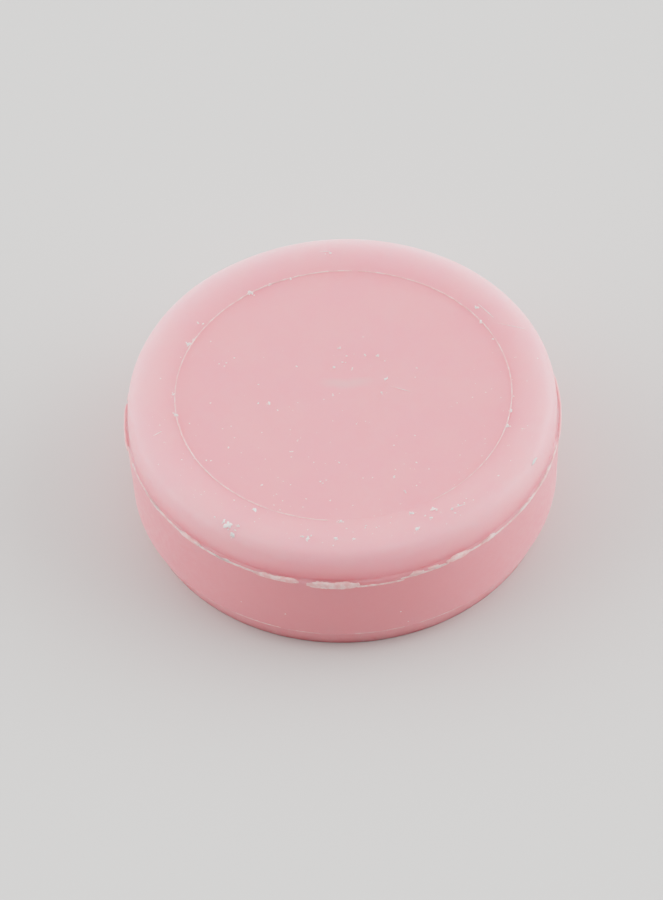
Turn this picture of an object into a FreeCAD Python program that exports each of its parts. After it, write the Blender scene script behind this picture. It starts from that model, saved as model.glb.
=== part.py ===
import FreeCAD, Part
import math
import os

# Round puck of die-pressed shaving soap, lying on its flat base.
# Millimetres, +Z up, origin at the centre of the base on the surface it rests on.

# ---- lower half, pressed in the lower die ----
BASE_R = 28.1         # flat base the puck rests on
BEVEL_TOP_R = 29.35   # wall where it meets the bevel
BEVEL_TOP_Z = 3.6
WALL_TOP_R = 29.75    # wall under the parting line: the draft of the lower die
WALL_TOP_Z = 14.4
LEDGE_R = 29.55       # outer edge of the narrow ledge at the parting line
LEDGE_Z = 15.1

# ---- crown, pressed in the upper die ----
CROWN_FOOT_R = 29.35  # crease at the crown's foot
CROWN_SIDE_R = 29.2   # crown side just under its shoulder
SHOULDER_R = 1.6      # rounding between the crown's side and top
HEIGHT = 20.0         # base to the crest of the crown's rim
RIM_INNER_R = 26.4    # where the rim starts to fall towards the panel
PANEL_R = 22.9        # round panel pressed by the die's insert
PANEL_Z = 19.3        # the panel lies a little below the rim
SEAM_STEP = 0.1       # the rim's inner edge stands this much above the panel

# ---- film squeezed out at the parting line and torn into strips ----
LIP_R = 30.0
FLASH_TOP_Z = 15.35
FLASH_INNER_R = 29.45
# start and end bearing in degrees, outer radius, height
FLASH_STRIPS = [
    (-12, 11, LIP_R, 0.8),
    (15, 70, 29.95, 0.7),
    (74, 128, LIP_R, 0.7),
    (131, 170, 29.95, 0.7),
    (173, 188.5, LIP_R, 0.9),
    (191, 220, 29.9, 0.6),
    (221, 244, 29.9, 0.7),
    (245, 256.7, LIP_R, 0.95),
    (258.8, 285, LIP_R, 0.95),
    (286, 302, 29.95, 0.85),
    (304, 318, 29.9, 0.75),
    (320, 345, 29.95, 0.7),
]

# ---- broken hairlines: start and end bearing of each stretch in degrees ----
PANEL_BURR_STRETCHES = [(-16, 26), (31, 112), (118, 172), (176, 214), (217, 246), (249, 341)]
PANEL_BURR_WIDTH = 0.25
PANEL_BURR_HEIGHT = 0.1
BEVEL_BURR_STRETCHES = [(215, 251), (254, 262), (266, 301), (304, 325)]
BEVEL_BURR_SIZE = 0.15

# ---- crumbs: distance from the axis, bearing in degrees, width, thickness ----
CRUMBS = [
    (7.7, 90, 0.6, 0.3),
    (4.4, 102, 0.5, 0.3),
    (8.0, 49, 0.5, 0.25),
    (6.4, 15, 0.7, 0.3),
    (8.9, 191, 0.9, 0.3),
    (11.5, 188, 0.6, 0.3),
    (25.5, 91, 0.5, 0.3),
    (24.2, 237, 0.5, 0.3),
    (27.4, 236, 1.2, 0.4),
    (25.9, 258, 1.2, 0.4),
    (26.3, 265, 0.7, 0.3),
    (25.6, 295, 0.8, 0.3),
    (25.2, 303, 0.9, 0.35),
]
CRUMB_CORNERS = 5
CRUMB_UNEVENNESS = 0.3
CRUMB_TOP_SCALE = 0.6  # a crumb narrows towards its top
CRUMB_SINK = 0.1       # depth of a crumb's foot before it is trimmed to the surface


def at(r, z):
    """Point in the plane of the profile."""
    return FreeCAD.Vector(r, 0, z)


def ring_box(inner, outer, low, high, start, end):
    """Arc-shaped bar of rectangular section between two bearings."""
    section = Part.makePolygon([at(inner, low), at(outer, low), at(outer, high), at(inner, high),
                                at(inner, low)])
    face = Part.Face(section)
    face.rotate(at(0, 0), FreeCAD.Vector(0, 0, 1), start)
    return face.revolve(at(0, 0), FreeCAD.Vector(0, 0, 1), end - start)


def soap_body():
    """The pressed bar: base, bevel, drafted wall, ledge, crown, raised rim and sunk panel."""
    side_top = at(CROWN_SIDE_R, HEIGHT - SHOULDER_R)
    crest = at(CROWN_SIDE_R - SHOULDER_R, HEIGHT)
    corner = 1 - math.cos(math.pi / 4)
    shoulder = at(CROWN_SIDE_R - SHOULDER_R * corner, HEIGHT - SHOULDER_R * corner)
    outside = [
        at(0, PANEL_Z),
        at(0, 0),
        at(BASE_R, 0),
        at(BEVEL_TOP_R, BEVEL_TOP_Z),
        at(WALL_TOP_R, WALL_TOP_Z),
        at(LEDGE_R, LEDGE_Z),
        at(CROWN_FOOT_R, LEDGE_Z),
        side_top,
    ]
    top = [
        crest,
        at(RIM_INNER_R, HEIGHT),
        at(PANEL_R + SEAM_STEP, PANEL_Z + SEAM_STEP),
        at(PANEL_R, PANEL_Z),
        at(0, PANEL_Z),
    ]
    edges = [Part.makeLine(a, b) for a, b in zip(outside, outside[1:])]
    edges.append(Part.Arc(side_top, shoulder, crest).toShape())
    edges += [Part.makeLine(a, b) for a, b in zip(top, top[1:])]
    face = Part.Face(Part.Wire(edges))
    return face.revolve(at(0, 0), FreeCAD.Vector(0, 0, 1), 360)


def parting_flash(body):
    """Torn strips of film folded over the edge of the ledge, trimmed to the soap under them."""
    return [
        ring_box(FLASH_INNER_R, outer, FLASH_TOP_Z - height, FLASH_TOP_Z, start, end).cut(body)
        for start, end, outer, height in FLASH_STRIPS
    ]


def panel_burr(body):
    """Raised hairline in the seam round the panel."""
    inner = PANEL_R + SEAM_STEP
    outer = inner + PANEL_BURR_WIDTH
    top = PANEL_Z + SEAM_STEP + PANEL_BURR_HEIGHT
    return [
        ring_box(inner, outer, PANEL_Z, top, start, end).cut(body)
        for start, end in PANEL_BURR_STRETCHES
    ]


def bevel_burr(body):
    """Raised hairline on the edge between the wall and the bevel."""
    inner = BEVEL_TOP_R - BEVEL_BURR_SIZE
    outer = BEVEL_TOP_R + BEVEL_BURR_SIZE
    top = BEVEL_TOP_Z + BEVEL_BURR_SIZE
    return [
        ring_box(inner, outer, BEVEL_TOP_Z, top, start, end).cut(body)
        for start, end in BEVEL_BURR_STRETCHES
    ]


def top_height(radius):
    """Height of the top face at a distance from the axis."""
    if radius < PANEL_R:
        return PANEL_Z
    share = min(1.0, (radius - PANEL_R) / (RIM_INNER_R - PANEL_R))
    return PANEL_Z + SEAM_STEP + share * (HEIGHT - PANEL_Z - SEAM_STEP)


def crumb(radius, bearing, width, thickness, body):
    """Flake with an uneven outline that lies on the top face."""
    def outline(scale, z):
        points = []
        for corner in range(CRUMB_CORNERS):
            turn = math.radians(bearing + 360.0 * corner / CRUMB_CORNERS)
            uneven = 1 + CRUMB_UNEVENNESS * math.cos(2 * turn + radius)
            reach = scale * uneven * width / 2
            points.append(FreeCAD.Vector(reach * math.cos(turn), reach * math.sin(turn), z))
        return Part.makePolygon(points + points[:1])

    solid = Part.makeLoft([outline(1, -CRUMB_SINK), outline(CRUMB_TOP_SCALE, thickness)], True, True)
    angle = math.radians(bearing)
    place = (radius * math.cos(angle), radius * math.sin(angle), top_height(radius))
    solid.translate(FreeCAD.Vector(*place))
    return solid.cut(body)


def save(name, shapes):
    """Write one node as a STEP file and print what it holds."""
    node = shapes[0] if len(shapes) == 1 else Part.makeCompound(shapes)
    node.exportStep("parts/" + name + ".step")
    closed = all(solid.isClosed() for solid in node.Solids)
    print(name, "solids", len(node.Solids), "closed", closed, "valid", node.isValid(),
          "volume mm3 %.2f" % node.Volume)


os.makedirs("parts", exist_ok=True)
puck = soap_body()
save("soap_body", [puck])
save("parting_flash", parting_flash(puck))
save("panel_burr", panel_burr(puck))
save("bevel_burr", bevel_burr(puck))
save("soap_crumbs", [crumb(*row, puck) for row in CRUMBS])
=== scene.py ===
# %% [markdown]
# # A pressed puck of shaving soap
# The real thing is one bar of milled soap, squeezed between two dies until it is hard and smooth.
# This lesson builds its looks around a fixed frame that a CAD model gives: the frame says where
# everything is and how large, and the pieces made here take over how it looks.

# %% Load the frame
import math
import random
from collections import Counter

import bpy
from mathutils import Matrix, Vector


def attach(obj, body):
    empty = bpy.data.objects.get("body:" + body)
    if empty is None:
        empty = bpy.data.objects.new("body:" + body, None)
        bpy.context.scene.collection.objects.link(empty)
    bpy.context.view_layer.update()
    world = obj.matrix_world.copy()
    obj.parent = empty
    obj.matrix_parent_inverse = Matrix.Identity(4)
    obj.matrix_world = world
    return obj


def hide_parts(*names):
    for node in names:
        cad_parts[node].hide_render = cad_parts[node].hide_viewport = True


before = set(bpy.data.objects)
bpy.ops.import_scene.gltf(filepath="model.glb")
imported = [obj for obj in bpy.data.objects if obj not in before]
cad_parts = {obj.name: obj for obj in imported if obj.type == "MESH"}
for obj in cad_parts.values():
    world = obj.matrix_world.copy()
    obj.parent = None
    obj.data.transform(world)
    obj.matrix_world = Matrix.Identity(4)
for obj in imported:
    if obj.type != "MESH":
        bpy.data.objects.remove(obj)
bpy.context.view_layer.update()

# %% [markdown]
# ## Small helpers
# Soap is measured in millimetres and Blender works in metres, so one helper turns one into the
# other. Operators act on whatever is selected, and the frame's own objects come in selected, so
# every new piece starts with nothing selected. The last helper counts the faces at each edge and
# stops the script at an open seam, since a hole in a closed piece spoils its shading and its mesh.

# %% Helpers
MM = 0.001


def mm(*values):
    """Millimetres to metres."""
    return [MM * v for v in values]


def start_fresh():
    """Nothing selected, and Object mode."""
    if bpy.context.object and bpy.context.object.mode != "OBJECT":
        bpy.ops.object.mode_set(mode="OBJECT")
    bpy.ops.object.select_all(action="DESELECT")


def edit(piece):
    """The piece alone in Edit mode."""
    start_fresh()
    bpy.context.view_layer.objects.active = piece
    piece.select_set(True)
    bpy.ops.object.mode_set(mode="EDIT")


def pick(piece, wanted, kind="VERT"):
    """Select, in Edit mode, the vertices, edges or faces whose centre passes a test."""
    bpy.ops.object.mode_set(mode="EDIT")
    bpy.ops.mesh.select_mode(type=kind)
    bpy.ops.mesh.select_all(action="DESELECT")
    bpy.ops.object.mode_set(mode="OBJECT")
    mesh = piece.data
    if kind == "VERT":
        for v in mesh.vertices:
            v.select = wanted(v.co)
    elif kind == "EDGE":
        for e in mesh.edges:
            e.select = all(wanted(mesh.vertices[i].co) for i in e.vertices)
    else:
        for f in mesh.polygons:
            f.select = wanted(f.center)
    bpy.ops.object.mode_set(mode="EDIT")


def modifier(piece, kind, **settings):
    """Add a modifier, set it and apply it."""
    m = piece.modifiers.new(kind.lower(), kind)
    for key, value in settings.items():
        setattr(m, key, value)
    start_fresh()
    bpy.context.view_layer.objects.active = piece
    piece.select_set(True)
    bpy.ops.object.modifier_apply(modifier=m.name)


def clouds(name, size_mm, depth=2):
    """Soft random texture for a Displace modifier, its lumps about size_mm across."""
    texture = bpy.data.textures.new(name, "CLOUDS")
    texture.noise_scale = size_mm * MM
    texture.noise_depth = depth
    return texture


def say(piece):
    """Print a piece's face count and its box in millimetres."""
    xs = [[v.co[i] / MM for v in piece.data.vertices] for i in range(3)]
    box = " x ".join("%.2f..%.2f" % (min(a), max(a)) for a in xs)
    print(piece.name, len(piece.data.polygons), "faces,", box)


def check_closed(piece):
    """Stop if any edge isn't shared by exactly two faces, which is what an open seam looks like."""
    uses = Counter(key for face in piece.data.polygons for key in face.edge_keys)
    loose = sum(1 for count in uses.values() if count != 2)
    if loose:
        raise RuntimeError("%s has %d open edges" % (piece.name, loose))
    print(piece.name, "is closed:", len(uses), "edges, each between two faces")


# %% [markdown]
# ## The puck's outline
# A die-pressed puck is round, so its shape is an outline turned about an axis. The list below
# walks up that outline from the flat base: a bevel, a wall that leans out a little so that the
# soap leaves the lower die, the ledge where the two dies met, the crown's side and rounded
# shoulder, a rim, and the panel that the die's insert pressed slightly lower. Points close
# together keep an edge crisp when the surface is smoothed, and points far apart let it flow.

# %% Outline, radius and height in millimetres
BODY_OUTLINE = [
    (25.5, 0.0), (27.4, 0.0), (27.9, 0.0), (28.1, 0.07), (28.2, 0.33),
    (28.55, 1.35), (28.95, 2.5), (29.24, 3.36), (29.34, 3.58), (29.42, 3.66), (29.42, 3.76),
    (29.37, 3.86), (29.4, 4.3), (29.46, 6.0), (29.54, 8.4), (29.62, 10.8), (29.69, 13.0),
    (29.74, 14.2), (29.76, 14.62), (29.74, 14.86), (29.66, 15.02), (29.56, 15.09),
    (29.48, 15.11), (29.41, 15.14), (29.37, 15.2), (29.36, 15.34), (29.36, 15.65),
    (29.36, 16.3), (29.33, 17.2), (29.27, 18.0), (29.12, 18.7), (28.84, 19.28), (28.4, 19.68),
    (27.8, 19.9), (27.0, 20.0), (26.0, 19.96), (25.0, 19.81), (24.1, 19.62), (23.5, 19.48),
    (23.15, 19.41), (23.0, 19.385), (22.9, 19.35), (22.8, 19.31), (22.65, 19.285), (22.3, 19.28),
    (20.5, 19.28),
]
CORNERS = 88
print(len(BODY_OUTLINE), "points on the outline")

# %% [markdown]
# ## The soap body
# A turned shape could be a profile swept by Spin. Here a circle is drawn at the base and drawn up
# ring by ring, extruding and scaling, as a potter raises a wall: it keeps every ring a clean loop,
# and it lets the two flat faces be filled with a grid of squares in place of a fan of thin
# triangles, so that the soft dents made later come out even. Subdivision then rounds it.

# %% Raise the body from a circle


def raise_rings(name, outline, corners):
    """Closed turned solid: a circle extruded and scaled along an outline, its ends gridded."""
    start_fresh()
    radius, height = mm(*outline[0])
    bpy.ops.mesh.primitive_circle_add(vertices=corners, radius=radius, location=(0, 0, height))
    piece = bpy.context.object
    piece.name = piece.data.name = name
    bpy.ops.object.transform_apply(location=True, rotation=True, scale=True)
    edit(piece)
    bpy.ops.mesh.select_all(action="SELECT")
    for (r0, z0), (r1, z1) in zip(outline, outline[1:]):
        bpy.ops.mesh.extrude_region_move(TRANSFORM_OT_translate={"value": (0, 0, (z1 - z0) * MM)})
        bpy.ops.transform.resize(value=(r1 / r0, r1 / r0, 1), center_override=(0, 0, 0))
    bpy.ops.mesh.fill_grid(span=corners // 4)
    first = outline[0]
    pick(piece, lambda c: abs(c.z / MM - first[1]) < 1e-3
         and abs(math.hypot(c.x, c.y) / MM - first[0]) < 1e-2, "EDGE")
    bpy.ops.mesh.fill_grid(span=corners // 4)
    bpy.ops.mesh.select_all(action="SELECT")
    bpy.ops.mesh.normals_make_consistent(inside=False)
    bpy.ops.object.mode_set(mode="OBJECT")
    return piece


SEAM_SHIFT = 0.2
SEAM_DEPTH = 0.985


def set_seam_off_centre(piece, inner, outer):
    """Move and flatten the ring round the panel a little, as the die's insert sat."""
    middle = mm(SEAM_SHIFT, 0, 0)
    pick(piece, lambda c: c.z / MM > 19 and inner < math.hypot(c.x, c.y) / MM < outer)
    bpy.ops.transform.resize(value=(1, SEAM_DEPTH, 1), center_override=(0, 0, 0))
    bpy.ops.transform.translate(value=middle)
    bpy.ops.object.mode_set(mode="OBJECT")


soap = raise_rings("soap_bar", BODY_OUTLINE, CORNERS)
set_seam_off_centre(soap, 22.0, 24.3)
modifier(soap, "SUBSURF", levels=2, render_levels=2)
say(soap)
check_closed(soap)

# %% Slow waves and small dents


def mark(piece, name, weight):
    """Vertex group whose weight comes from a function of the vertex's place in millimetres."""
    group = piece.vertex_groups.new(name=name)
    for v in piece.data.vertices:
        x, y, z = (c / MM for c in v.co)
        share = weight(math.hypot(x, y), z, math.degrees(math.atan2(y, x)) % 360)
        if share > 0:
            group.add([v.index], share, "REPLACE")
    return group.name


def smooth_step(low, high, value):
    """0 below low, 1 above high, and a soft ramp between."""
    t = min(1.0, max(0.0, (value - low) / (high - low)))
    return t * t * (3 - 2 * t)


mark(soap, "above_base", lambda r, z, a: smooth_step(0.3, 2.0, z))
LEDGE_HEIGHT = 14.8
mark(soap, "ledge", lambda r, z, a: (smooth_step(0.8, 0.2, abs(z - LEDGE_HEIGHT))
                                     * smooth_step(29.45, 29.6, r)))
modifier(soap, "DISPLACE", texture=clouds("slow_waves", 13), texture_coords="LOCAL",
         strength=0.12 * MM, mid_level=0.5, vertex_group="above_base")
modifier(soap, "DISPLACE", texture=clouds("small_waves", 3.5), texture_coords="LOCAL",
         strength=0.035 * MM, mid_level=0.5, vertex_group="above_base")
modifier(soap, "DISPLACE", texture=clouds("ledge_chips", 0.9, 1), texture_coords="LOCAL",
         strength=0.22 * MM, mid_level=0.55, vertex_group="ledge")
start_fresh()
soap.select_set(True)
bpy.context.view_layer.objects.active = soap
bpy.ops.object.shade_smooth()
say(soap)

# %% [markdown]
# ## Torn film at the parting line
# When the dies close, a film of soap squeezes out between them. It is a fraction of a millimetre
# thick, folds over the edge of the ledge, dries whitish and tears into strips. Each strip is
# modelled as a small square section spun through its own angle, narrowed at both ends, and
# then roughened with two sizes of random lumps so that no edge stays straight.

# %% A ragged strip
STEP_DEGREES = 0.45


def strip(name, start, end, radius, height, width, tall, lumps, rough=1.0):
    """Thin curved bar between two bearings, centred on a radius and height, with ragged edges."""
    start_fresh()
    turn = Matrix.Rotation(math.radians(start), 4, "Z")
    middle = turn @ Vector(mm(radius, 0, height))
    bpy.ops.mesh.primitive_plane_add(size=1, location=middle,
                                     rotation=(math.pi / 2, 0, math.radians(start)))
    piece = bpy.context.object
    piece.name = piece.data.name = name
    piece.scale = (width * MM, tall * MM, 1)
    bpy.ops.object.transform_apply(location=True, rotation=True, scale=True)
    edit(piece)
    bpy.ops.mesh.select_all(action="SELECT")
    bpy.ops.mesh.subdivide(number_cuts=1)
    steps = max(4, round((end - start) / STEP_DEGREES))
    # with no window, spin turns clockwise seen from above for a positive angle
    bpy.ops.mesh.spin(steps=steps, angle=-math.radians(end - start), center=(0, 0, 0),
                      axis=(0, 0, 1))
    bpy.ops.mesh.select_all(action="SELECT")
    bpy.ops.mesh.remove_doubles(threshold=1e-7)
    bpy.ops.mesh.normals_make_consistent(inside=False)
    for bearing in (start, end):
        tip = Matrix.Rotation(math.radians(bearing), 4, "Z") @ Vector(mm(radius, 0, height))
        pick(piece, lambda c: (c - tip).length < 0.75 * max(width, tall) * MM)
        bpy.ops.transform.resize(value=(0.55, 0.55, 0.55), center_override=tip,
                                 use_proportional_edit=True, proportional_edit_falloff="SMOOTH",
                                 proportional_size=0.9 * max(width, tall) * MM)
    bpy.ops.object.mode_set(mode="OBJECT")
    modifier(piece, "SUBSURF", levels=1, render_levels=1)
    modifier(piece, "DISPLACE", texture=lumps[0], texture_coords="LOCAL", direction="Z",
             strength=0.55 * rough * tall * MM, mid_level=0.5)
    modifier(piece, "DISPLACE", texture=lumps[0], texture_coords="LOCAL",
             strength=0.45 * rough * min(width, tall) * MM, mid_level=0.45)
    modifier(piece, "DISPLACE", texture=lumps[1], texture_coords="LOCAL",
             strength=0.35 * rough * min(width, tall) * MM, mid_level=0.5)
    return piece


def gather(name, pieces):
    """Join separate bits into one piece."""
    start_fresh()
    for bit in pieces:
        bit.select_set(True)
    bpy.context.view_layer.objects.active = pieces[0]
    bpy.ops.object.join()
    whole = bpy.context.object
    whole.name = whole.data.name = name
    bpy.ops.object.shade_smooth()
    say(whole)
    return whole


# %% Lay the strips round the ledge
# start and end bearing, radius and height of the strip's middle, width across, height
FLASH = [
    (12, 38, 29.7, 14.98, 0.22, 0.35), (40, 71, 29.72, 14.95, 0.26, 0.42),
    (73, 105, 29.75, 14.95, 0.3, 0.45), (107, 129, 29.7, 14.98, 0.22, 0.35),
    (130, 151, 29.72, 14.95, 0.26, 0.42), (152, 172, 29.7, 14.98, 0.22, 0.35),
    (188, 206, 29.68, 14.98, 0.16, 0.24), (204, 222, 29.7, 14.92, 0.18, 0.28),
    (207, 212, 29.7, 14.88, 0.26, 0.42), (220.5, 228.5, 29.68, 14.85, 0.34, 0.56),
    (226, 246, 29.71, 14.8, 0.2, 0.3), (233, 238, 29.7, 14.78, 0.26, 0.42),
    (244.5, 256.8, 29.68, 14.68, 0.4, 0.72),
    (258.7, 272.3, 29.68, 14.47, 0.46, 1.2),
    (271.5, 284, 29.76, 14.2, 0.16, 0.24), (283, 296.5, 29.74, 14.55, 0.16, 0.22),
    (285.2, 289.3, 29.68, 14.72, 0.36, 0.7), (290.5, 293.5, 29.7, 14.95, 0.24, 0.36),
    (292, 295.5, 29.72, 14.62, 0.26, 0.36),
    (295.8, 303, 29.7, 14.92, 0.38, 0.86), (302.5, 320, 29.72, 14.85, 0.16, 0.26),
    (307, 311.5, 29.7, 14.92, 0.34, 0.56),
    (319, 346, 29.72, 14.9, 0.2, 0.34), (321, 327, 29.7, 14.92, 0.3, 0.5),
    (331, 340, 29.72, 14.92, 0.3, 0.48),
]
FILM_LUMPS = (clouds("film_lumps", 1.1, 2), clouds("film_crumbs", 0.35, 1))
flash = gather("torn_film", [strip("film_strip", *row, FILM_LUMPS, 0.8) for row in FLASH])

# %% [markdown]
# ## The lip that didn't tear
# At both sides the film is still whole: a smooth pink lip instead of a white ragged edge. It is
# the same strip with far less roughness. It has its own finish, because it is well under a
# millimetre thick: given the bar's deep scattering, light would pass right through it and it
# would look like a dark slot from the side.

# %% The lip that didn't tear
LIPS = [(-12, 11, 29.74, 14.8, 0.4, 0.7), (173, 189, 29.76, 14.75, 0.4, 0.8)]
lip = gather("pressed_lip", [strip("lip_strip", *row, FILM_LUMPS, 0.3) for row in LIPS])

# %% [markdown]
# ## Hairlines
# The seam round the die's insert leaves a hair of soap standing up, broken here and there, and the
# edge above the bevel carries a finer one, whose pale colour is partly a painted highlight along
# that edge. They are the same ragged strips, much thinner.

# %% Hairlines round the panel and above the bevel, the one above the bevel partly a painted highlight
HAIR_LUMPS = (clouds("hair_lumps", 0.9, 2), clouds("hair_crumbs", 0.3, 1))
PANEL_HAIRS = [
    (-18, 6, 22.95, 19.4, 0.1, 0.12), (5, 27, 22.95, 19.4, 0.12, 0.12),
    (26, 40, 22.97, 19.4, 0.13, 0.14), (38, 63, 22.95, 19.4, 0.11, 0.12),
    (62, 83, 22.95, 19.4, 0.09, 0.1), (85, 101, 22.96, 19.4, 0.1, 0.12),
    (100, 114, 22.95, 19.4, 0.12, 0.14), (112, 127, 22.97, 19.41, 0.14, 0.16),
    (126, 150, 22.95, 19.4, 0.08, 0.1), (149, 167, 22.97, 19.41, 0.14, 0.16),
    (166, 187, 22.95, 19.4, 0.1, 0.12), (186, 216, 22.96, 19.4, 0.12, 0.13),
    (215, 243, 22.95, 19.4, 0.1, 0.12), (242, 263, 22.95, 19.4, 0.09, 0.1),
    (299, 324, 22.95, 19.39, 0.07, 0.09), (323, 343, 22.95, 19.4, 0.09, 0.1),
]
panel_hair = gather("panel_hairline", [strip("hair", *row, HAIR_LUMPS, 1.6)
                                       for row in PANEL_HAIRS])
set_seam_off_centre(panel_hair, 22.0, 24.3)
# the pale hair above the bevel is partly a burr and partly a painted highlight along the edge
BEVEL_HAIRS_AND_HIGHLIGHT = [
    (238, 251, 29.39, 3.72, 0.06, 0.06), (253, 262, 29.39, 3.72, 0.07, 0.06),
    (268, 284, 29.39, 3.72, 0.05, 0.05), (288, 301, 29.39, 3.72, 0.06, 0.05),
]
edge_hair_and_highlight = gather("bevel_hairline_and_painted_highlight", [strip("hair", *row, HAIR_LUMPS, 1.0)
                                       for row in BEVEL_HAIRS_AND_HIGHLIGHT])

# %% [markdown]
# ## Crumbs
# Dry soap flakes off in crumbs about half a millimetre across. One crumb starts as an icosphere,
# is flattened, and is knocked out of round by moving its vertices at random. Three such crumbs
# are modelled once, and each crumb on the puck is a turned and scaled copy of one of them. A ray
# cast at the finished body finds where each one lies and how the surface leans there, because a
# place worked out from the outline would miss the dents and bury some crumbs in the soap.

# %% Three crumbs to copy
random.seed(7)


def model_crumb(name, seed, flat, fineness=2):
    """Uneven flake one millimetre across."""
    start_fresh()
    bpy.ops.mesh.primitive_ico_sphere_add(subdivisions=fineness, radius=0.5 * MM)
    piece = bpy.context.object
    piece.name = piece.data.name = name
    edit(piece)
    bpy.ops.mesh.select_all(action="SELECT")
    bpy.ops.transform.vertex_random(offset=0.16 * MM, uniform=0.6, normal=0.4, seed=seed)
    bpy.ops.transform.resize(value=(1.0, 0.72, flat), center_override=(0, 0, 0))
    bpy.ops.object.mode_set(mode="OBJECT")
    return piece


MODELS = [model_crumb("crumb_round", 3, 0.3), model_crumb("crumb_flake", 11, 0.16),
          model_crumb("crumb_chip", 23, 0.22)]


# crumbs caught on the seam sit on its hairline, not in the groove beside it
SEAM_HEIGHT, SEAM_INNER, SEAM_OUTER = 19.42, 22.3, 23.5
CLEAR_OF_THE_PUCK = 40


def on_top(x, y):
    """Point of the finished body under x, y in millimetres, and the way its surface faces."""
    found, place, normal, _ = soap.ray_cast(Vector(mm(x, y, CLEAR_OF_THE_PUCK)),
                                             Vector((0, 0, -1)))
    if not found:
        raise RuntimeError("no soap under %.1f, %.1f" % (x, y))
    if SEAM_INNER < math.hypot(x, y) < SEAM_OUTER:
        place.z = max(place.z, SEAM_HEIGHT * MM)
    return place, normal


def on_wall(bearing, height):
    """Point of the wall at a bearing and height, and the way it faces."""
    outward = Matrix.Rotation(math.radians(bearing), 3, "Z") @ Vector((1, 0, 0))
    start = outward * CLEAR_OF_THE_PUCK * MM + Vector(mm(0, 0, height))
    found, place, normal, _ = soap.ray_cast(start, -outward)
    if not found:
        raise RuntimeError("no wall at bearing %.0f" % bearing)
    return place, normal


def lay_flake(model, spot, length, width, thick, turn):
    """Copy of a crumb, with its own mesh, lying on a spot of the soap; sizes in millimetres."""
    place, normal = spot
    copy = model.copy()
    copy.data = model.data.copy()
    bpy.context.scene.collection.objects.link(copy)
    lean = Vector((0, 0, 1)).rotation_difference(normal).to_matrix().to_4x4()
    copy.data.transform(Matrix.Translation(place) @ lean @ Matrix.Rotation(turn, 4, "Z")
                        @ Matrix.Diagonal((length, width, thick, 1)))
    return copy


bpy.context.view_layer.update()

# %% Place the crumbs
# x and y in millimetres, then size
CRUMBS = [
    (0.0, 7.9, 0.55), (-0.9, 4.4, 0.6), (5.2, 6.2, 0.5), (6.1, 1.9, 0.6), (3.5, 6.3, 0.35),
    (-1.2, -0.7, 0.4), (-9.9, -1.6, 0.6), (-11.4, -1.5, 0.35), (-8.8, -2.9, 0.35),
    (1.5, 3.8, 0.3), (0.7, 5.2, 0.3), (3.3, 9.8, 0.3), (5.5, -0.8, 0.3),
    (-0.7, 25.6, 0.45), (-1.4, 25.5, 0.3),
    (-15.9, -22.9, 1.1), (-15.3, -24.2, 0.8), (-14.6, -23.2, 0.55), (-16.4, -22.2, 0.5),
    (-17.6, -21.4, 0.35), (-5.4, -25.9, 0.9), (-6.0, -25.5, 0.6), (-4.9, -25.4, 0.45),
    (-0.9, -22.7, 0.6), (-0.2, -24.2, 0.4), (-1.7, -26.0, 0.6), (0.7, -26.3, 0.5),
    (4.1, -24.1, 0.35), (2.4, -23.8, 0.3), (8.6, -22.0, 0.7), (11.4, -21.6, 0.9),
    (9.1, -25.0, 0.8), (11.1, -23.2, 0.6), (10.3, -22.7, 0.35), (13.9, -21.9, 0.5),
    (14.8, -21.2, 0.45), (15.6, -20.9, 0.4), (14.3, -22.6, 0.35), (20.4, -16.4, 0.4),
    (6.5, -15.8, 0.4), (7.9, -18.5, 0.35), (-12.3, -20.2, 0.8), (-2.2, -19.3, 0.3),
    (-7.3, -10.4, 0.35), (-18.6, -11.3, 0.35), (-11.3, -16.1, 0.3), (-3.1, -16.2, 0.3),
    (-22.6, -2.8, 0.75), (-22.9, 1.0, 0.5), (-20.7, 10.1, 0.7), (-20.0, 10.9, 0.5),
    (-12.0, 19.2, 0.9), (-9.3, 20.6, 0.5), (-6.4, 21.5, 0.45), (19.6, 11.9, 0.6),
    (21.1, 8.6, 0.4), (22.8, -4.6, 0.55), (22.2, -7.2, 0.6), (23.3, -2.0, 0.3),
    (19.2, 14.4, 0.6), (-19.4, 13.8, 0.4), (-14.5, 7.0, 0.35), (-16.6, 6.0, 0.35),
    (-17.7, 10.2, 0.3), (10.4, 3.7, 0.3), (10.1, 2.0, 0.3), (24.1, -8.3, 0.3),
    (0.9, 6.4, 0.36), (0.3, 5.3, 0.4), (1.6, 4.1, 0.4), (3.4, 6.5, 0.42), (6.1, 5.2, 0.38),
    (-1.2, -0.5, 0.38), (5.4, -0.5, 0.4), (1.8, -6.0, 0.34), (-0.8, -12.7, 0.38),
    (-3.4, -15.9, 0.36), (-2.6, -15.7, 0.32), (9.6, -13.3, 0.38), (6.5, -15.6, 0.4),
    (-6.0, 4.9, 0.34), (-15.9, 5.5, 0.36), (-15.6, 6.1, 0.32), (-18.7, 13.7, 0.38),
    (-1.0, -22.8, 0.45), (2.3, -24.2, 0.42), (3.8, -24.3, 0.42), (-18.0, -11.4, 0.4),
    (-15.0, -18.4, 0.38), (-7.0, -10.4, 0.4), (-11.2, -16.0, 0.36), (-15.6, -9.2, 0.36),
    (9.6, -8.5, 0.32), (6.7, -10.1, 0.34), (7.8, -18.2, 0.42), (8.4, -21.9, 0.5),
    (-5.4, -18.8, 0.32), (-17.9, -1.1, 0.32), (-11.3, 1.9, 0.32), (-20.8, -4.6, 0.4),
]
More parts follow.
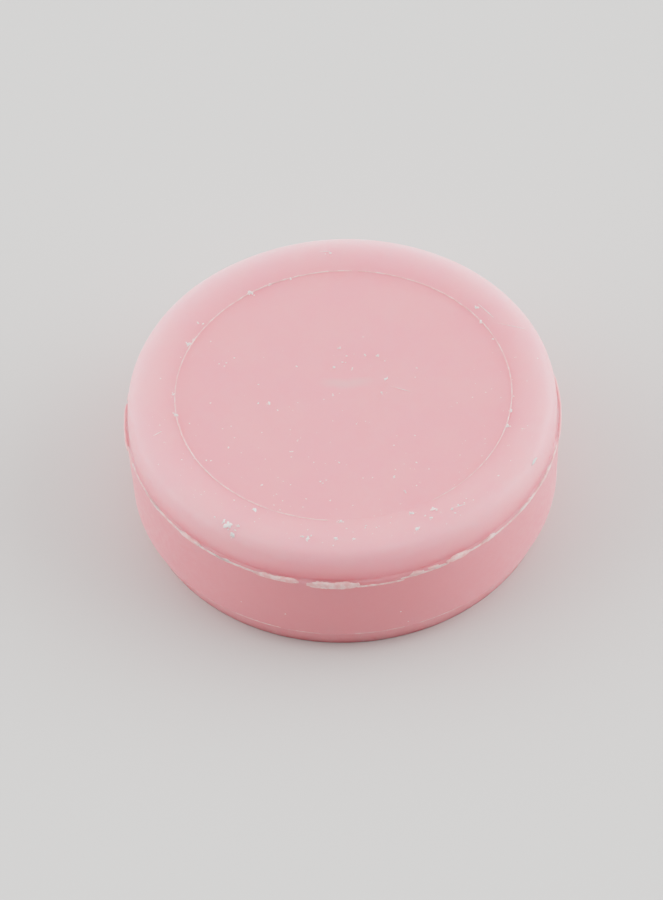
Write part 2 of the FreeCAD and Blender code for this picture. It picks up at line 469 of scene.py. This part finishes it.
# the table is laid out at the rim's height, so marks on the sunk panel move back a little
PANEL_EDGE, PANEL_DROP = 22.4, 0.35
crumbs = []
for number, (x, y, size) in enumerate(CRUMBS):
    if math.hypot(x, y) < PANEL_EDGE:
        y += PANEL_DROP
    bits = 1 if size < 0.5 else 4
    for bit in range(bits):
        spread = 0.0 if bit == 0 else 0.55 * size
        share = random.uniform(0.62, 0.8) if bit == 0 else random.uniform(0.2, 0.45)
        crumbs.append(lay_flake(
            MODELS[(number + bit) % len(MODELS)],
            on_top(x + random.uniform(-spread, spread), y + random.uniform(-spread, spread)),
            share * size * random.uniform(0.9, 1.5), share * size, share * size,
            random.uniform(0, 2 * math.pi)))
# bearing, height and size of the few specks that cling to the wall
WALL_SPECKS = [(252.5, 7.0, 0.22), (240, 6.8, 0.2), (283, 7.2, 0.22), (285, 4.6, 0.18)]
for bearing, height, size in WALL_SPECKS:
    crumbs.append(lay_flake(MODELS[0], on_wall(bearing, height), size, size, 0.6 * size,
                            random.uniform(0, 2 * math.pi)))
# x and y of both ends, then width
SCRATCHES = [
    (6.7, 0.95, 9.6, -0.35, 0.12), (19.3, 15.2, 21.6, 12.0, 0.16), (21.9, 11.2, 25.6, 9.6, 0.1),
    (-25.7, -6.8, -24.5, -5.9, 0.14), (14.2, -21.6, 15.8, -21.1, 0.14),
    (-2.2, 26.0, -0.6, 25.9, 0.1), (24.95, -14.3, 25.75, -12.9, 0.5),
]
for x0, y0, x1, y1, width in SCRATCHES:
    along = Vector((x1 - x0, y1 - y0))
    crumbs.append(lay_flake(MODELS[1], on_top((x0 + x1) / 2, (y0 + y1) / 2), along.length, width,
                            0.35, math.atan2(along.y, along.x)))
crumbs = gather("dry_crumbs", crumbs)

# %% [markdown]
# ## Dust
# Between the crumbs lies a dust of grains about a tenth of a millimetre across, thicker towards
# the near edge. Nobody could place each one, so they are scattered with a seeded random draw.
# There are a couple of hundred, so the grain that is copied has only twenty faces.

# %% Dust
DUST_GRAINS = 190
grain = model_crumb("dust_grain", 5, 0.35, 1)
dust = []
while len(dust) < DUST_GRAINS:
    x, y = random.uniform(-28, 28), random.uniform(-28, 28)
    if math.hypot(x, y) > 27.8 or random.random() > smooth_step(18, -24, y):
        continue
    size = random.choice((0.1, 0.12, 0.14, 0.18, 0.24))
    dust.append(lay_flake(grain, on_top(x, y), size, size, size,
                          random.uniform(0, 2 * math.pi)))
dust = gather("soap_dust", dust)
for model in MODELS + [grain]:
    bpy.data.objects.remove(model)

# %% [markdown]
# ## Materials
# Every colour is written as the hex value it has on a screen, and one function turns it into the
# linear light that Blender computes with. One more function adds a node, sets it and links it.

# %% Colour and node helpers


def linear(hex_colour):
    """sRGB hex to linear RGBA."""
    channels = [int(hex_colour[i:i + 2], 16) / 255 for i in (1, 3, 5)]
    return [c / 12.92 if c <= 0.04045 else ((c + 0.055) / 1.055) ** 2.4 for c in channels] + [1.0]


def node(tree, kind, settings=None, **links):
    """Add a node; each link is an input's name with a value or another node's output."""
    new = tree.nodes.new("ShaderNode" + kind)
    for key, value in (settings or {}).items():
        setattr(new, key, value)
    for key, value in links.items():
        socket = new.inputs[int(key[1:])] if key[0] == "_" else new.inputs[key.replace("_", " ")]
        if isinstance(value, bpy.types.NodeSocket):
            tree.links.new(value, socket)
        else:
            socket.default_value = value
    return new


def new_material(name):
    """Empty material with its Principled shader and output."""
    material = bpy.data.materials.new(name)
    material.use_nodes = True
    tree = material.node_tree
    tree.nodes.clear()
    shader = node(tree, "BsdfPrincipled")
    out = node(tree, "OutputMaterial", Surface=shader.outputs[0])
    return material, tree, shader


# %% [markdown]
# ## Milled soap
# Milled soap is fat and glycerine, and light goes some way into it before it comes back out, which
# softens every edge and lifts the shade in the crease. That is subsurface scattering. The
# distances here, 8 mm for red and 16 mm for green and blue, were found by matching the finished
# look. A real bar's are shorter, and in pink soap the red should travel furthest, so they are not
# to be learnt from. The wall also has a deeper pink of its own than the crown. Part of it stands
# in for shade, so it is paint and stays on the model in any light. The die leaves a close,
# slightly waxy surface, which is the bump and the uneven roughness.

# %% Milled soap
SOAP_PINK = "#f3979e"
SOAP_PALE = "#f39a9f"
WALL_PINK_WITH_PAINTED_SHADE = "#e98a90"
# heights in millimetres between which the wall's deeper pink, partly its own colour and partly
# painted shade, passes into the crown's
WALL_UP_TO, CROWN_FROM = 14.0, 17.0
# a greyish crescent painted on the top, a little off the middle
TOP_GREY_CRESCENT = "#d8a8ab"
TOP_GREY_CRESCENT_SHARE = 0.5


def blend(tree, share, first, second):
    """Colour mixed from two, each a colour or another node's output."""
    return node(tree, "Mix", {"data_type": "RGBA"}, _0=share, _6=first, _7=second).outputs[2]


def soft_range(tree, value, low, high, to_low=0.0, to_high=1.0):
    """Value eased from one range to another."""
    return node(tree, "MapRange", {"interpolation_type": "SMOOTHSTEP"}, Value=value,
                From_Min=low, From_Max=high, To_Min=to_low, To_Max=to_high).outputs[0]


def milled_soap():
    material, tree, shader = new_material("milled_soap_pressed")
    place = node(tree, "TexCoord").outputs["Object"]
    cloud = node(tree, "TexNoise", Vector=place, Scale=1 / (7 * MM), Detail=4.0, Roughness=0.65)
    colour = blend(tree, soft_range(tree, cloud.outputs["Fac"], 0.35, 0.65),
                   linear(SOAP_PINK), linear(SOAP_PALE))
    height = node(tree, "SeparateXYZ", Vector=place).outputs["Z"]
    # below the crown the wall takes the deeper pink, which is partly painted shade
    crown_over_shaded_wall = soft_range(tree, height, WALL_UP_TO * MM, CROWN_FROM * MM)
    colour = blend(tree, crown_over_shaded_wall, linear(WALL_PINK_WITH_PAINTED_SHADE), colour)
    # two ovals whose difference is the greyish crescent painted near the middle of the top
    spots = []
    for middle_y, half_x, half_y in ((2.1, 4.6, 1.7), (3.7, 3.9, 1.9)):
        spot = node(tree, "Mapping", {"vector_type": "TEXTURE"}, Vector=place,
                    Location=mm(0.85, middle_y, 19.3), Scale=mm(half_x, half_y, 6.0))
        reach = node(tree, "VectorMath", {"operation": "LENGTH"}, Vector=spot.outputs[0])
        spots.append(soft_range(tree, reach.outputs["Value"], 0.35, 1.0, 1.0, 0.0))
    crescent = node(tree, "Math", {"operation": "SUBTRACT", "use_clamp": True},
                    _0=spots[0], _1=spots[1])
    grey_crescent_strength = node(tree, "Math", {"operation": "MULTIPLY"}, _0=crescent.outputs[0], _1=TOP_GREY_CRESCENT_SHARE)
    colour = blend(tree, grey_crescent_strength.outputs[0], colour, linear(TOP_GREY_CRESCENT))
    tree.links.new(colour, shader.inputs["Base Color"])
    wax = node(tree, "TexNoise", Vector=place, Scale=1 / (0.9 * MM), Detail=2.0, Roughness=0.5)
    grain = node(tree, "TexNoise", Vector=place, Scale=1 / (0.25 * MM), Detail=2.0, Roughness=0.6)
    skin = node(tree, "Bump", Strength=0.12, Distance=0.05 * MM, Height=wax.outputs["Fac"])
    bump = node(tree, "Bump", Strength=0.12, Distance=0.02 * MM, Height=grain.outputs["Fac"],
                Normal=skin.outputs[0])
    tree.links.new(bump.outputs[0], shader.inputs["Normal"])
    tree.links.new(soft_range(tree, wax.outputs["Fac"], 0.3, 0.7, 0.42, 0.56),
                   shader.inputs["Roughness"])
    shader.inputs["Subsurface Weight"].default_value = 1.0
    shader.inputs["Subsurface Radius"].default_value = (0.5, 1.0, 1.0)
    shader.inputs["Subsurface Scale"].default_value = 16 * MM
    shader.inputs["IOR"].default_value = 1.46
    shader.inputs["Specular IOR Level"].default_value = 0.32
    return material


soap_material = milled_soap()
soap.data.materials.append(soap_material)

# %% [markdown]
# ## Dry soap
# Film and crumbs dried out long before the bar did. Dry soap is full of tiny air gaps that turn
# light back near the surface, so it looks paler and chalkier than the pink bar under it. The same
# shader gives that with scattering of a third of a millimetre and a rough surface, mottled at
# about the size of the lumps that it is made of.

# %% Dry soap film


def dry_soap(name, thin, thick, grain_mm):
    material, tree, shader = new_material(name)
    place = node(tree, "TexCoord").outputs["Object"]
    mottle = node(tree, "TexNoise", Vector=place, Scale=1 / (grain_mm * MM), Detail=3.0,
                  Roughness=0.6)
    patchy = node(tree, "MapRange", {"interpolation_type": "SMOOTHSTEP"},
                  Value=mottle.outputs["Fac"], From_Min=0.38, From_Max=0.62)
    colour = node(tree, "Mix", {"data_type": "RGBA"}, _0=patchy.outputs[0],
                  _6=linear(thin), _7=linear(thick))
    tree.links.new(colour.outputs[2], shader.inputs["Base Color"])
    shader.inputs["Subsurface Weight"].default_value = 0.8
    shader.inputs["Subsurface Radius"].default_value = (1.0, 0.7, 0.7)
    shader.inputs["Subsurface Scale"].default_value = 0.3 * MM
    shader.inputs["Roughness"].default_value = 0.75
    return material


film_material = dry_soap("dry_soap_film", "#efabaa", "#f4cdca", 1.1)
lip_material = dry_soap("milled_soap_thin_lip", "#ea9da1", "#efa9ab", 2.4)
lip.data.materials.append(lip_material)
crumb_material = dry_soap("dry_soap_crumb", "#f6d6d4", "#fcf0ee", 0.5)
for piece in (flash, panel_hair, edge_hair_and_highlight):
    piece.data.materials.append(film_material)
for piece in (crumbs, dust):
    piece.data.materials.append(crumb_material)

# %% [markdown]
# ## Onto the frame
# The puck has no moving part, so every piece rides on the frame's one body. Each piece is listed
# with the node of the CAD model it stands in for, which is hidden, and with the name of a finish.
# This is the last chance to catch an open seam, so each piece is checked here and an open one stops
# the script.

# %% Everything rides on the one body
for piece, cad_node, slot in (
    (soap, "soap_body", "milled_soap"),
    (flash, "parting_flash", "dry_soap_film"),
    (lip, "parting_flash", "milled_soap"),
    (panel_hair, "panel_burr", "dry_soap_film"),
    (edge_hair_and_highlight, "bevel_burr", "dry_soap_film"),
    (crumbs, "soap_crumbs", "dry_soap_film"),
    (dust, "soap_crumbs", "dry_soap_film"),
):
    check_closed(piece)
    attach(piece, "root")
    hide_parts(cad_node)

# %% [markdown]
# ## Floor, light and camera

# %% Floor
start_fresh()
bpy.ops.mesh.primitive_plane_add(size=6.0, location=(0, 0, 0))
floor = bpy.context.object
floor.name = "floor"
paper, tree, shader = new_material("matt_paper")
shader.inputs["Base Color"].default_value = linear("#c5c4c2")
shader.inputs["Roughness"].default_value = 0.9
floor.data.materials.append(paper)

# %% [markdown]
# ## Backdrop
# From low down the eye passes over the edge of the floor and would meet the bare sky of the
# lighting. A studio hides that with a paper sweep, lit evenly by its own lamps. Here it is a wide
# dome that only the camera sees: it closes the view, and neither lights nor shades the soap.

# %% Dome of paper
start_fresh()
DOME_RADIUS, SWEEP_BRIGHTNESS = 2.9, 0.29
bpy.ops.mesh.primitive_uv_sphere_add(segments=96, ring_count=48, radius=DOME_RADIUS)
dome = bpy.context.object
dome.name = "backdrop"
edit(dome)
bpy.ops.mesh.select_all(action="SELECT")
bpy.ops.mesh.bisect(plane_co=(0, 0, -0.01), plane_no=(0, 0, 1), clear_inner=True)
bpy.ops.mesh.select_all(action="SELECT")
bpy.ops.mesh.normals_make_consistent(inside=True)
bpy.ops.object.mode_set(mode="OBJECT")
bpy.ops.object.shade_smooth()
dome.visible_diffuse = dome.visible_glossy = dome.visible_transmission = False
dome.visible_volume_scatter = dome.visible_shadow = False
lit_paper = bpy.data.materials.new("evenly_lit_paper")
lit_paper.use_nodes = True
lit_paper.node_tree.nodes.clear()
# as bright as the floor looks beside the puck, so that no line shows where the two meet
shine = node(lit_paper.node_tree, "Emission", Color=linear("#fffefb"), Strength=SWEEP_BRIGHTNESS)
node(lit_paper.node_tree, "OutputMaterial", Surface=shine.outputs[0])
lit_paper.cycles.emission_sampling = "NONE"
dome.data.materials.append(lit_paper)
print("backdrop radius", DOME_RADIUS, "m")

# %% [markdown]
# ## Light
# The puck stands in a soft white room with a large pale window on each side, the right one
# brighter, and the dark side of the room behind the camera. There is no lamp: the sky
# itself is bright or dark by direction, which gives the wide soft shading that soap needs.

# %% Light
ROOM, LEFT_WINDOW, RIGHT_WINDOW = 0.449, 0.821, 1.134

world = bpy.data.worlds.new("soft_room")
bpy.context.scene.world = world
world.use_nodes = True
tree = world.node_tree
direction = node(tree, "TexCoord").outputs["Generated"]


def glow(towards, inner, outer, inside, outside):
    """Strength of the sky: one value round a direction, another away from it, angles in degrees."""
    nearness = node(tree, "VectorMath", {"operation": "DOT_PRODUCT"}, _0=direction,
                    _1=Vector(towards).normalized())
    return node(tree, "MapRange", {"interpolation_type": "SMOOTHSTEP"},
                Value=nearness.outputs["Value"], From_Min=math.cos(math.radians(outer)),
                From_Max=math.cos(math.radians(inner)), To_Min=outside, To_Max=inside).outputs[0]


room = glow((0, -1, 0.18), 50, 75, 0.0, ROOM)
left = glow((-1, 0, 0.2), 10, 50, LEFT_WINDOW, 0.0)
right = glow((1, 0, 0.2), 10, 50, RIGHT_WINDOW, 0.0)
sides = node(tree, "Math", {"operation": "ADD"}, _0=left, _1=right)
total = node(tree, "Math", {"operation": "ADD"}, _0=room, _1=sides.outputs[0])
tree.links.new(total.outputs[0], tree.nodes["Background"].inputs["Strength"])
tree.nodes["Background"].inputs["Color"].default_value = linear("#ffffff")

# %% [markdown]
# ## Camera
# A long lens looks down at the puck from about 0.6 m away, tilted a little. The long lens keeps
# the circles of the puck close to true ellipses. Depth of field stays off.

# %% Camera
CAMERA_PLACE = mm(-1.725, -393.705, 467.187)
camera_data = bpy.data.cameras.new("camera")
camera_data.sensor_width = 36
camera_data.lens = 175.24
camera = bpy.data.objects.new("camera", camera_data)
bpy.context.scene.collection.objects.link(camera)
TILT = math.radians(90 - 49.42)
ROLL = math.radians(-2.478)
camera.matrix_world = (Matrix.Translation(CAMERA_PLACE) @ Matrix.Rotation(TILT, 4, "X")
                       @ Matrix.Rotation(ROLL, 4, "Z"))
bpy.context.scene.camera = camera

# %% [markdown]
# ## Tone curve
# A camera doesn't record light in proportion: it lifts the middle tones and rolls off gently
# before white. A curve with one steepness and one middle value does the same here.

# %% Tone curve
SHOULDER, MIDDLE, TOP = 1.115, 0.176, 1.057
look = bpy.context.scene.view_settings
look.view_transform = "Standard"
look.use_curve_mapping = True
curve = look.curve_mapping.curves[3]
STOPS = (0.015, 0.04, 0.08, 0.13, 0.2, 0.3, 0.43, 0.6, 0.8)


def tone(x):
    """Rise steeply in the middle tones and flatten towards white."""
    return TOP * x ** SHOULDER / (x ** SHOULDER + MIDDLE ** SHOULDER)


for x in STOPS:
    curve.points.new(x, tone(x))
curve.points[-1].location = (1.0, tone(1.0))
look.curve_mapping.update()
print("tone curve:", [(round(p.location[0], 3), round(p.location[1], 3)) for p in curve.points])
